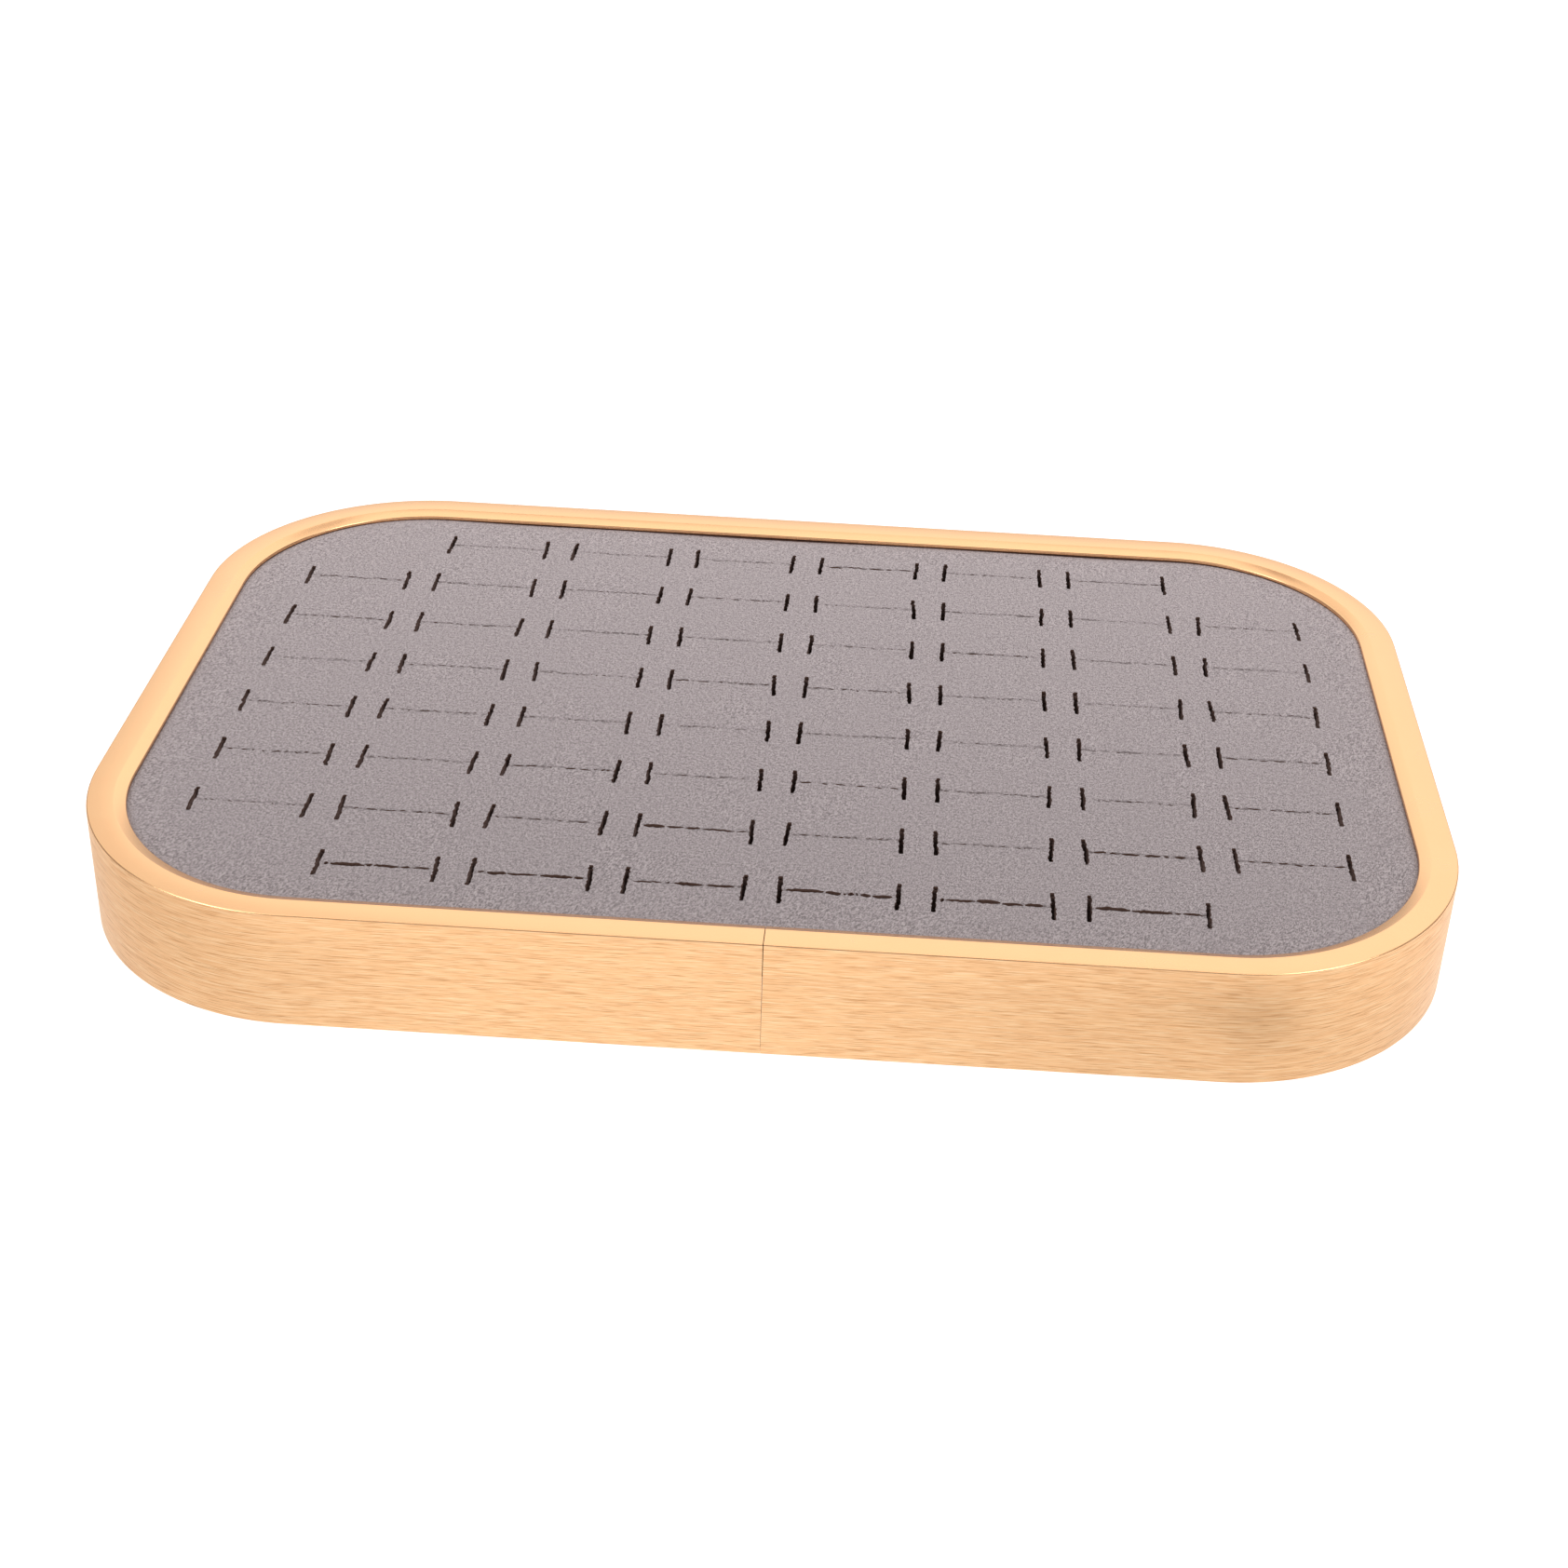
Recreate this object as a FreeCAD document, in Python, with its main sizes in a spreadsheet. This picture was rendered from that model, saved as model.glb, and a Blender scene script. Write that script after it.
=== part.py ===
import FreeCAD, Part
import math
import os
import Sketcher

# Ring display tray: a bent aluminium frame round a cloth-covered foam pad with H-shaped slits.
# Millimetres. The origin is the middle of the underside, with +X along the length,
# +Y to the back and +Z up. The frame's butt joint is in the middle of the front.

DRIVING_SIZES = [
    ("tray_length", 350.0, "outside length along X"),
    ("tray_width", 235.0, "outside width along Y"),
    ("tray_height", 32.0, "from the surface it rests on to the top of the lip"),
    ("corner_radius", 62.0, "outside radius of the four corners, seen from above"),
    ("wall_thickness", 1.2, "upright wall of the aluminium profile"),
    ("edge_bevel", 0.4, "eased outer top edge of the profile"),
    ("lip_flat_width", 6.8, "flat of the lip, from the outer face to its crest"),
    ("lip_flat_thickness", 1.2, "metal under the flat of the lip"),
    ("lip_bevel_width", 3.0, "bevel from the crest in to the pad"),
    ("lip_bevel_drop", 1.2, "height that the bevel loses"),
    ("lip_edge_thickness", 0.9, "upright inner edge of the lip"),
    ("ledge_reach", 8.0, "ledge under the board, from the outer face"),
    ("ledge_thickness", 1.2, "metal of the ledge"),
    ("joint_gap", 0.15, "hairline between the two ends of the profile"),
    ("splice_length", 40.0, "plate behind the butt joint, along X"),
    ("splice_height", 20.0, "plate behind the butt joint, upwards"),
    ("splice_thickness", 1.0, "plate behind the butt joint"),
    ("fit_clearance", 0.3, "room between the plate and the cloth, and round the felt"),
    ("felt_thickness", 2.0, "felt under the board"),
    ("board_thickness", 3.0, "fibreboard under the foam"),
    ("cloth_thickness", 0.8, "microfibre cloth"),
    ("pad_edge_bevel", 2.0, "turn of the cloth over the pad's top edge"),
    ("column_pitch", 38.0, "from slit to slit along X"),
    ("row_pitch", 25.8, "from slit to slit along Y"),
    ("slit_length", 29.2, "long slit, between the middles of its cross slits"),
    ("slit_width", 0.4, "opening of the long slit"),
    ("cross_slit_length", 10.8, "short slit across each end of the long one"),
    ("cross_slit_width", 1.3, "opening of the cross slits"),
    ("slit_depth", 15.0, "from the face of the cloth down into the foam"),
    ("end_margin", 12.0, "least plain cloth at the two ends of a row"),
    ("side_margin", 9.0, "least plain cloth in front of and behind the slits"),
]

# Places that several pieces share, worked out from the driving sizes.
LIP_REACH = "(Sizes.lip_flat_width + Sizes.lip_bevel_width)"
LIP_UNDERSIDE = "(Sizes.tray_height - Sizes.lip_bevel_drop - Sizes.lip_edge_thickness)"
BOARD_TOP = "(Sizes.felt_thickness + Sizes.board_thickness)"
FOAM_TOP = "(%s - Sizes.cloth_thickness)" % LIP_UNDERSIDE
CLOTH_INSET = "(Sizes.wall_thickness + Sizes.splice_thickness + Sizes.fit_clearance)"
FOAM_INSET = "(%s + Sizes.cloth_thickness)" % CLOTH_INSET
FELT_INSET = "(Sizes.ledge_reach + Sizes.fit_clearance)"
# The cloth keeps its thickness over the bevel, so the foam's bevel is that much smaller.
FOAM_BEVEL = "(Sizes.pad_edge_bevel - (2 - sqrt(2)) * Sizes.cloth_thickness)"

# As many slits as the lip's opening takes with plain cloth left round them.
COLUMNS = (
    "(floor((Sizes.tray_length - 2 * %s - 2 * Sizes.end_margin - Sizes.slit_length)"
    " / Sizes.column_pitch) + 1)" % LIP_REACH
)
ROWS = (
    "(floor((Sizes.tray_width - 2 * %s - 2 * Sizes.side_margin - Sizes.cross_slit_length)"
    " / Sizes.row_pitch) + 1)" % LIP_REACH
)

X_AXIS_LINE = -1
Y_AXIS_LINE = -2
ORIGIN_POINT = (-1, 1)
SAME_LEVEL = 1e-6

doc = FreeCAD.newDocument("RingTray")


def make_sizes():
    sheet = doc.addObject("Spreadsheet::Sheet", "Sizes")
    for row, (alias, value, meaning) in enumerate(DRIVING_SIZES, start=1):
        sheet.set("A%d" % row, alias)
        sheet.set("B%d" % row, str(value))
        sheet.set("C%d" % row, meaning)
        sheet.setAlias("B%d" % row, alias)
    doc.recompute()
    return sheet


sheet = make_sizes()


def value_of(expression):
    return float(sheet.evalExpression(expression))


def new_body(name):
    body = doc.addObject("PartDesign::Body", name)
    body.Label = name
    return body


def origin_feature(body, role):
    return [item for item in body.Origin.OriginFeatures if item.Role == role][0]


def new_sketch(body, name, plane, **offsets):
    """A sketch on a plane of the body's origin, moved by expressions for x, y or z."""
    sketch = body.newObject("Sketcher::SketchObject", name)
    sketch.AttachmentSupport = [(origin_feature(body, plane), "")]
    sketch.MapMode = "FlatFace"
    for axis, expression in offsets.items():
        sketch.setExpression("AttachmentOffset.Base.%s" % axis, expression)
    return sketch


def bind(sketch, constraint, name, expression):
    index = sketch.addConstraint(constraint)
    sketch.renameConstraint(index, name)
    sketch.setExpression("Constraints.%s" % name, expression)


def pin_point(sketch, point, name, x, y):
    """Holds a point at two distances from the sketch's origin, on the side they are on."""
    for kind, distance, axis in (("DistanceX", x, Y_AXIS_LINE), ("DistanceY", y, X_AXIS_LINE)):
        size = value_of(distance)
        if distance == "0":
            sketch.addConstraint(Sketcher.Constraint("PointOnObject", *point, axis))
        elif size < 0:
            constraint = Sketcher.Constraint(kind, *point, *ORIGIN_POINT, -size)
            bind(sketch, constraint, name + kind, "-(%s)" % distance)
        else:
            constraint = Sketcher.Constraint(kind, *ORIGIN_POINT, *point, size)
            bind(sketch, constraint, name + kind, distance)


def draw_polygon(sketch, corners):
    """A closed outline of straight lines through corners, each given as two expressions."""
    points = [FreeCAD.Vector(value_of(x), value_of(y), 0) for x, y in corners]
    edges = []
    for start, end in zip(points, points[1:] + points[:1]):
        edges.append(sketch.addGeometry(Part.LineSegment(start, end), False))
    for edge, following in zip(edges, edges[1:] + edges[:1]):
        sketch.addConstraint(Sketcher.Constraint("Coincident", edge, 2, following, 1))
    for index, (edge, (x, y)) in enumerate(zip(edges, corners)):
        pin_point(sketch, (edge, 1), "Corner%d" % index, x, y)


def draw_outline(sketch, inset, gap=None):
    """The tray's rounded plan, drawn in from the outer face by an inset all the way round.

    With a gap, the outline is a path that is open by that much in the middle of the front.
    """
    radius = "Sizes.corner_radius - %s" % inset
    half_length = value_of("Sizes.tray_length / 2 - %s" % inset)
    half_width = value_of("Sizes.tray_width / 2 - %s" % inset)
    r = value_of(radius)
    x, y = half_length - r, half_width - r
    ends = [
        ((-x, -half_width), (x, -half_width)),
        ((half_length, -y), (half_length, y)),
        ((x, half_width), (-x, half_width)),
        ((-half_length, y), (-half_length, -y)),
    ]
    if gap:
        half_gap = value_of(gap) / 2
        ends[0] = ((half_gap, -half_width), (x, -half_width))
        ends.append(((-x, -half_width), (-half_gap, -half_width)))
    sides = []
    for index, (start, end) in enumerate(ends):
        line = Part.LineSegment(FreeCAD.Vector(*start, 0), FreeCAD.Vector(*end, 0))
        sides.append(sketch.addGeometry(line, False))
        direction = "Vertical" if index % 2 else "Horizontal"
        sketch.addConstraint(Sketcher.Constraint(direction, sides[-1]))
    corners = []
    for index, centre in enumerate(((x, -y), (x, y), (-x, y), (-x, -y))):
        circle = Part.Circle(FreeCAD.Vector(*centre, 0), FreeCAD.Vector(0, 0, 1), r)
        arc = Part.ArcOfCircle(circle, (index - 1) * math.pi / 2, index * math.pi / 2)
        corners.append(sketch.addGeometry(arc, False))
        following = sides[(index + 1) % len(sides)]
        sketch.addConstraint(Sketcher.Constraint("Tangent", sides[index], 2, corners[-1], 1))
        sketch.addConstraint(Sketcher.Constraint("Tangent", corners[-1], 2, following, 1))
        if index:
            sketch.addConstraint(Sketcher.Constraint("Equal", corners[0], corners[-1]))
    middle = Sketcher.Constraint("Symmetric", corners[0], 3, corners[2], 3, *ORIGIN_POINT)
    sketch.addConstraint(middle)
    front, right, back, left = sides[:4]
    length = Sketcher.Constraint("DistanceX", left, 1, right, 1, 2 * half_length)
    bind(sketch, length, "Length", "Sizes.tray_length - 2 * %s" % inset)
    width = Sketcher.Constraint("DistanceY", front, 1, back, 1, 2 * half_width)
    bind(sketch, width, "Width", "Sizes.tray_width - 2 * %s" % inset)
    bind(sketch, Sketcher.Constraint("Radius", corners[0], r), "Radius", radius)
    if gap:
        last = sides[-1]
        sketch.addConstraint(Sketcher.Constraint("Horizontal", front, 1, last, 2))
        opening = Sketcher.Constraint("DistanceX", last, 2, front, 1, 2 * half_gap)
        bind(sketch, opening, "Opening", gap)
        start = Sketcher.Constraint("DistanceX", *ORIGIN_POINT, front, 1, half_gap)
        bind(sketch, start, "Start", "%s / 2" % gap)


def pad_block(body, name, inset, bottom, height):
    """A slab with the tray's rounded plan, set in by an inset, from a level upwards."""
    outline = new_sketch(body, name + "Outline", "XY_Plane", z=bottom)
    draw_outline(outline, inset)
    slab = body.newObject("PartDesign::Pad", name + "Slab")
    slab.Profile = outline
    slab.setExpression("Length", height)
    doc.recompute()
    return slab


def level_face(shape, height):
    """The name of the flat face that looks up or down at a height."""
    for index, face in enumerate(shape.Faces, start=1):
        box = face.BoundBox
        if box.ZLength < SAME_LEVEL and abs(box.ZMin - height) < SAME_LEVEL:
            return "Face%d" % index
    raise RuntimeError("no level face at %g" % height)


def bevel_top_edge(body, name, slab, size):
    """Takes off the slab's top edge all the way round, as stretched cloth does to foam."""
    bevel = body.newObject("PartDesign::Chamfer", name + "TopEdge")
    bevel.Base = (slab, [level_face(slab.Shape, slab.Shape.BoundBox.ZMax)])
    bevel.setExpression("Size", size)
    doc.recompute()
    return bevel


def draw_h_slit(body, name, level, left, forward):
    """One H, so far left and forward of the middle: a long slit between two cross slits."""
    sketch = new_sketch(body, name, "XY_Plane", x="-" + left, y="-" + forward, z=level)
    outer = "((Sizes.slit_length + Sizes.cross_slit_width) / 2)"
    inner = "((Sizes.slit_length - Sizes.cross_slit_width) / 2)"
    tip = "(Sizes.cross_slit_length / 2)"
    side = "(Sizes.slit_width / 2)"
    right = [(inner, side), (inner, tip), (outer, tip)]
    right += [(x, "-" + y) for x, y in reversed(right)]
    draw_polygon(sketch, right + [("-" + x, y) for x, y in reversed(right)])
    return sketch


def cut_slits(body, name, level, depth=None):
    """Cuts every H: whole rows, then the front and back rows, which have none in the corners."""
    whole_rows = ("Whole", COLUMNS, "(%s - 2)" % ROWS, "((%s - 3) * Sizes.row_pitch)" % ROWS)
    end_rows = ("End", "(%s - 2)" % COLUMNS, "2", "((%s - 1) * Sizes.row_pitch)" % ROWS)
    for label, columns, rows, reach_back in (whole_rows, end_rows):
        reach_right = "((%s - 1) * Sizes.column_pitch)" % columns
        outline = draw_h_slit(
            body, name + label + "Outline", level, reach_right + " / 2", reach_back + " / 2"
        )
        cut = body.newObject("PartDesign::Pocket", name + label + "Slit")
        cut.Profile = outline
        if depth:
            cut.setExpression("Length", depth)
        else:
            cut.Type = "ThroughAll"
        doc.recompute()
        pattern = body.newObject("PartDesign::LinearPattern", name + label + "Rows")
        pattern.Originals = [cut]
        pattern.Direction = (origin_feature(body, "X_Axis"), [""])
        pattern.setExpression("Length", reach_right)
        pattern.setExpression("Occurrences", columns)
        pattern.Direction2 = (origin_feature(body, "Y_Axis"), [""])
        pattern.setExpression("Length2", reach_back)
        pattern.setExpression("Occurrences2", rows)
        body.Tip = pattern
        doc.recompute()


def make_frame():
    """The aluminium profile, bent round the tray from one side of the butt joint to the other."""
    body = new_body("frame")
    path = new_sketch(body, "BentPath", "XY_Plane")
    draw_outline(path, "0", gap="Sizes.joint_gap")
    section = new_sketch(body, "ProfileSection", "YZ_Plane", z="Sizes.joint_gap / 2")
    draw_profile_section(section)
    doc.recompute()
    profile = body.newObject("PartDesign::AdditivePipe", "BentProfile")
    profile.Profile = section
    profile.Spine = (path, [])
    doc.recompute()
    return body


def draw_profile_section(sketch):
    """The profile at the joint: wall, lip with its bevel, and the ledge that carries the board."""
    top = "Sizes.tray_height"
    flat_underside = "(Sizes.tray_height - Sizes.lip_flat_thickness)"
    bevel_foot = "(Sizes.tray_height - Sizes.lip_bevel_drop)"
    ledge_top = "Sizes.felt_thickness"
    ledge_underside = "(Sizes.felt_thickness - Sizes.ledge_thickness)"
    inward_and_up = [
        ("0", "0"),
        ("0", "(Sizes.tray_height - Sizes.edge_bevel)"),
        ("Sizes.edge_bevel", top),
        ("Sizes.lip_flat_width", top),
        (LIP_REACH, bevel_foot),
        (LIP_REACH, LIP_UNDERSIDE),
        ("Sizes.lip_flat_width", LIP_UNDERSIDE),
        ("Sizes.lip_flat_width", flat_underside),
        ("Sizes.wall_thickness", flat_underside),
        ("Sizes.wall_thickness", ledge_top),
        ("Sizes.ledge_reach", ledge_top),
        ("Sizes.ledge_reach", ledge_underside),
        ("Sizes.wall_thickness", ledge_underside),
        ("Sizes.wall_thickness", "0"),
    ]
    corners = [("(%s - Sizes.tray_width / 2)" % inward, up) for inward, up in inward_and_up]
    draw_polygon(sketch, corners)


def make_joint_splice():
    """The flat plate behind the front wall that holds the two ends of the profile in line."""
    body = new_body("joint_splice")
    wall_face = "(Sizes.wall_thickness - Sizes.tray_width / 2)"
    plate_face = "(%s + Sizes.splice_thickness)" % wall_face
    half = "(Sizes.splice_length / 2)"
    footprint = new_sketch(body, "PlateFootprint", "XY_Plane", z="Sizes.felt_thickness")
    corners = [("-" + half, wall_face), (half, wall_face), (half, plate_face), ("-" + half, plate_face)]
    draw_polygon(footprint, corners)
    plate = body.newObject("PartDesign::Pad", "Plate")
    plate.Profile = footprint
    plate.setExpression("Length", "Sizes.splice_height")
    doc.recompute()
    return body


def make_base_board():
    """The fibreboard, which rests on the ledge and carries the foam."""
    body = new_body("base_board")
    pad_block(body, "Board", FOAM_INSET, "Sizes.felt_thickness", "Sizes.board_thickness")
    return body


def make_foam_pad():
    """The foam between the board and the cloth, with the lower part of every slit."""
    body = new_body("foam_pad")
    slab = pad_block(body, "Foam", FOAM_INSET, BOARD_TOP, "%s - %s" % (FOAM_TOP, BOARD_TOP))
    bevel_top_edge(body, "Foam", slab, FOAM_BEVEL)
    cut_slits(body, "Foam", FOAM_TOP, depth="Sizes.slit_depth - Sizes.cloth_thickness")
    return body


def make_microfibre_cover():
    """The cloth, drawn over the foam and down its sides to the ledge, with the slits cut in it."""
    body = new_body("microfibre_cover")
    bottom = "Sizes.felt_thickness"
    slab = pad_block(body, "Cloth", CLOTH_INSET, bottom, "%s - %s" % (LIP_UNDERSIDE, bottom))
    bevelled = bevel_top_edge(body, "Cloth", slab, "Sizes.pad_edge_bevel")
    shell = body.newObject("PartDesign::Thickness", "ClothShell")
    shell.Base = (bevelled, [level_face(bevelled.Shape, bevelled.Shape.BoundBox.ZMin)])
    shell.setExpression("Value", "Sizes.cloth_thickness")
    shell.Reversed = True
    doc.recompute()
    cut_slits(body, "Cloth", LIP_UNDERSIDE)
    return body


def make_felt_underside():
    """The felt glued under the board, level with the frame's lower edge."""
    body = new_body("felt_underside")
    pad_block(body, "Felt", FELT_INSET, "0", "Sizes.felt_thickness")
    return body


def check_document():
    """Stops if an object of the document has failed."""
    for item in doc.Objects:
        if "Invalid" in item.State or "Error" in item.State:
            raise RuntimeError("%s: %s" % (item.Label, item.State))


def write_part(body):
    shape = body.Shape
    if shape.isNull() or not shape.isValid() or not shape.Solids:
        raise RuntimeError("%s has no valid solid" % body.Label)
    shape.exportStep("parts/%s.step" % body.Label)
    box = shape.optimalBoundingBox()
    size = "%.1f x %.1f x %.1f mm" % (box.XLength, box.YLength, box.ZLength)
    print("%s: %d solid, %.0f mm3, %s" % (body.Label, len(shape.Solids), shape.Volume, size))


bodies = [
    make_frame(),
    make_joint_splice(),
    make_base_board(),
    make_foam_pad(),
    make_microfibre_cover(),
    make_felt_underside(),
]
doc.recompute()
check_document()
os.makedirs("parts", exist_ok=True)
for body in bodies:
    write_part(body)
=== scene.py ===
import math
import random

import bmesh
import bpy
from mathutils import Matrix, Vector, noise


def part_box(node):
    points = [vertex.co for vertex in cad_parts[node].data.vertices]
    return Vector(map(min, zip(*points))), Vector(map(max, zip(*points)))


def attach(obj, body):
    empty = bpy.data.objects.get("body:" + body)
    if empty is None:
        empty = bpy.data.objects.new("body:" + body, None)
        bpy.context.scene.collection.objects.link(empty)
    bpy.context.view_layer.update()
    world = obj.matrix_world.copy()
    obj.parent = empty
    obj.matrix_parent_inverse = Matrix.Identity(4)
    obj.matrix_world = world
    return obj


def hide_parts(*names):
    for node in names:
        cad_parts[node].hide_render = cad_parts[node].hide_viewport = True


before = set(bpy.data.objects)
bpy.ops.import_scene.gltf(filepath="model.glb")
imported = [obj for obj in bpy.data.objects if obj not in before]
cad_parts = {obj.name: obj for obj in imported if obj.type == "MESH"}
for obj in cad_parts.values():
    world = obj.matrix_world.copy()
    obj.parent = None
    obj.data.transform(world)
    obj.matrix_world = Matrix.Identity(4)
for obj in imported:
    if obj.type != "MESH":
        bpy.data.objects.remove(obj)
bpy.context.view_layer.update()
bpy.ops.object.select_all(action="DESELECT")

# The frame is one length of extruded aluminium profile, brushed along its outer wall and
# anodised champagne gold. It is bent round the four corners, and its two cut ends meet in a
# hairline butt joint in the middle of the front.
MM = 0.001
SAME_PLACE = 0.01 * MM
frame_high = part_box("frame")[1]
HALF_LENGTH = frame_high.x
HALF_WIDTH = frame_high.y
TRAY_HEIGHT = frame_high.z
CORNER_RADIUS = 62 * MM
BEND_STEPS = 36
# The joint closed a little to the right of the middle, as the bent ring was pressed together,
# and it is tighter at its foot than at the lip.
JOINT_X = 2.4 * MM
JOINT_GAP = 0.21 * MM
JOINT_GAP_LOW = 0.05 * MM
WALL = 1.2 * MM
LIP_FLAT = 6.8 * MM
LIP_REACH = 9.8 * MM
LIP_METAL = 1.2 * MM
BEVEL_DROP = 1.2 * MM
LIP_EDGE_METAL = 0.9 * MM
LIP_UNDERSIDE = TRAY_HEIGHT - BEVEL_DROP - LIP_EDGE_METAL
LEDGE_REACH = 8 * MM
LEDGE_TOP = 2 * MM
LEDGE_UNDERSIDE = 0.8 * MM
# Each corner of the profile: how far in from the outer face, how high, and its rounding.
PROFILE = [
    (0, 0, 0.15 * MM),
    (0, TRAY_HEIGHT, 0.45 * MM),
    (LIP_FLAT, TRAY_HEIGHT, 0.12 * MM),
    (LIP_REACH, TRAY_HEIGHT - BEVEL_DROP, 0.28 * MM),
    (LIP_REACH, LIP_UNDERSIDE, 0.15 * MM),
    (LIP_FLAT, LIP_UNDERSIDE, 0.1 * MM),
    (LIP_FLAT, TRAY_HEIGHT - LIP_METAL, 0.2 * MM),
    (WALL, TRAY_HEIGHT - LIP_METAL, 0.3 * MM),
    (WALL, LEDGE_TOP, 0.3 * MM),
    (LEDGE_REACH, LEDGE_TOP, 0.15 * MM),
    (LEDGE_REACH, LEDGE_UNDERSIDE, 0.15 * MM),
    (WALL, LEDGE_UNDERSIDE, 0.3 * MM),
    (WALL, 0, 0.15 * MM),
]
ROUNDING_STEPS = 4


def select_where(kind, test):
    """In edit mode, selects only the verts, edges or faces that pass a test."""
    edited = bmesh.from_edit_mesh(bpy.context.object.data)
    bpy.ops.mesh.select_all(action="DESELECT")
    bpy.context.tool_settings.mesh_select_mode = [kind == k for k in ("verts", "edges", "faces")]
    for element in getattr(edited, kind):
        element.select_set(test(element))
    edited.select_flush_mode()
    bmesh.update_edit_mesh(bpy.context.object.data)


def rise(edge):
    """How much higher one end of an edge lies than the other."""
    return abs(edge.verts[0].co.z - edge.verts[1].co.z)


def finish_piece(name):
    """Puts the active object's place in its mesh, names it and lets it ride on the one body."""
    piece = bpy.context.object
    bpy.ops.object.transform_apply(location=True, rotation=True, scale=True)
    piece.name = name
    piece.data.name = name
    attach(piece, "root")
    bpy.ops.object.select_all(action="DESELECT")
    return piece


def bend_profile():
    """Draws the profile's section at the joint, then runs and bends it round the tray."""
    bpy.ops.mesh.primitive_circle_add(vertices=len(PROFILE), radius=TRAY_HEIGHT)
    section = bpy.context.object
    for vertex, (inward, up, _) in zip(section.data.vertices, PROFILE):
        vertex.co = (JOINT_X + JOINT_GAP / 2, inward - HALF_WIDTH, up)
    bpy.ops.object.mode_set(mode="EDIT")
    for inward, up, rounding in PROFILE:
        place = Vector((JOINT_X + JOINT_GAP / 2, inward - HALF_WIDTH, up))
        select_where("verts", lambda vertex: (vertex.co - place).length < SAME_PLACE)
        bpy.ops.mesh.bevel(offset=rounding, segments=ROUNDING_STEPS, affect="VERTICES")
    bpy.ops.mesh.select_all(action="SELECT")
    side_x = HALF_LENGTH - CORNER_RADIUS
    side_y = HALF_WIDTH - CORNER_RADIUS
    runs = [
        ((side_x - JOINT_X - JOINT_GAP / 2, 0, 0), (side_x, -side_y, 0)),
        ((0, 2 * side_y, 0), (side_x, side_y, 0)),
        ((-2 * side_x, 0, 0), (-side_x, side_y, 0)),
        ((0, -2 * side_y, 0), (-side_x, -side_y, 0)),
    ]
    for run, bend_centre in runs:
        bpy.ops.mesh.extrude_region_move(TRANSFORM_OT_translate={"value": run})
        bpy.ops.mesh.spin(
            steps=BEND_STEPS, angle=math.radians(90), center=bend_centre, axis=(0, 0, -1)
        )
    last_run = (side_x + JOINT_X - JOINT_GAP / 2, 0, 0)
    bpy.ops.mesh.extrude_region_move(TRANSFORM_OT_translate={"value": last_run})
    for end in (JOINT_X + JOINT_GAP / 2, JOINT_X - JOINT_GAP / 2):
        select_where(
            "edges",
            lambda edge: edge.is_boundary
            and all(abs(v.co.x - end) < SAME_PLACE and v.co.y < 0 for v in edge.verts),
        )
        bpy.ops.mesh.edge_face_add()
    bpy.ops.mesh.select_all(action="SELECT")
    bpy.ops.mesh.normals_make_consistent(inside=False)
    bpy.ops.object.mode_set(mode="OBJECT")
    for vertex in section.data.vertices:
        if vertex.co.y < 0 and abs(vertex.co.x - JOINT_X) < JOINT_GAP:
            gap = JOINT_GAP_LOW + (JOINT_GAP - JOINT_GAP_LOW) * vertex.co.z / TRAY_HEIGHT
            vertex.co.x = JOINT_X + math.copysign(gap / 2, vertex.co.x - JOINT_X)
    bpy.ops.object.shade_smooth_by_angle(angle=math.radians(35))


ROUND_ALL = 4 * (HALF_LENGTH + HALF_WIDTH - 2 * CORNER_RADIUS) + 2 * math.pi * CORNER_RADIUS


def round_the_tray(x, y):
    """How far a place lies from the joint, along the outer face, and how far in from it."""
    side_x = HALF_LENGTH - CORNER_RADIUS
    side_y = HALF_WIDTH - CORNER_RADIUS
    bend = CORNER_RADIUS * math.pi / 2
    if abs(x) <= side_x:
        if y < 0:
            along = x
        else:
            along = side_x + 2 * bend + 2 * side_y + (side_x - x)
        inward = HALF_WIDTH - abs(y)
    elif abs(y) <= side_y:
        along = side_x + bend + (y + side_y)
        inward = HALF_LENGTH - abs(x)
        if x < 0:
            along = -along
    else:
        over_x = abs(x) - side_x
        over_y = abs(y) - side_y
        turn = math.atan2(over_x, over_y) * CORNER_RADIUS
        if y < 0:
            along = side_x + turn
        else:
            along = side_x + 2 * bend + 2 * side_y - turn
        inward = CORNER_RADIUS - math.hypot(over_x, over_y)
        if x < 0:
            along = -along
    if along < JOINT_X:
        along += ROUND_ALL
    return along, inward


def lay_grain(piece):
    """A UV map in metres: along the profile from the joint, and across it."""
    grain = piece.data.uv_layers.new(name="Grain")
    for face in piece.data.polygons:
        middle_along, _ = round_the_tray(face.center.x, face.center.y)
        for loop_index in face.loop_indices:
            place = piece.data.vertices[piece.data.loops[loop_index].vertex_index].co
            along, inward = round_the_tray(place.x, place.y)
            along += ROUND_ALL * round((middle_along - along) / ROUND_ALL)
            grain.data[loop_index].uv = (along, place.z + inward)


def linear(hex_colour):
    """An sRGB hex colour as the linear colour that a shader takes."""
    channels = [int(hex_colour[i : i + 2], 16) / 255 for i in (1, 3, 5)]
    bent = [c / 12.92 if c <= 0.04045 else ((c + 0.055) / 1.055) ** 2.4 for c in channels]
    return (*bent, 1)


def new_material(name):
    """A material with its node tree and its shader."""
    material = bpy.data.materials.new(name)
    material.use_nodes = True
    return material, material.node_tree, material.node_tree.nodes["Principled BSDF"]


def add(tree, kind, inputs=None, **settings):
    """Adds a node: settings are its options, inputs are values or the outputs to link."""
    node = tree.nodes.new("ShaderNode" + kind)
    for name, value in settings.items():
        setattr(node, name, value)
    for name, value in (inputs or {}).items():
        if isinstance(value, bpy.types.NodeSocket):
            tree.links.new(value, node.inputs[name])
        else:
            node.inputs[name].default_value = value
    return node


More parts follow.
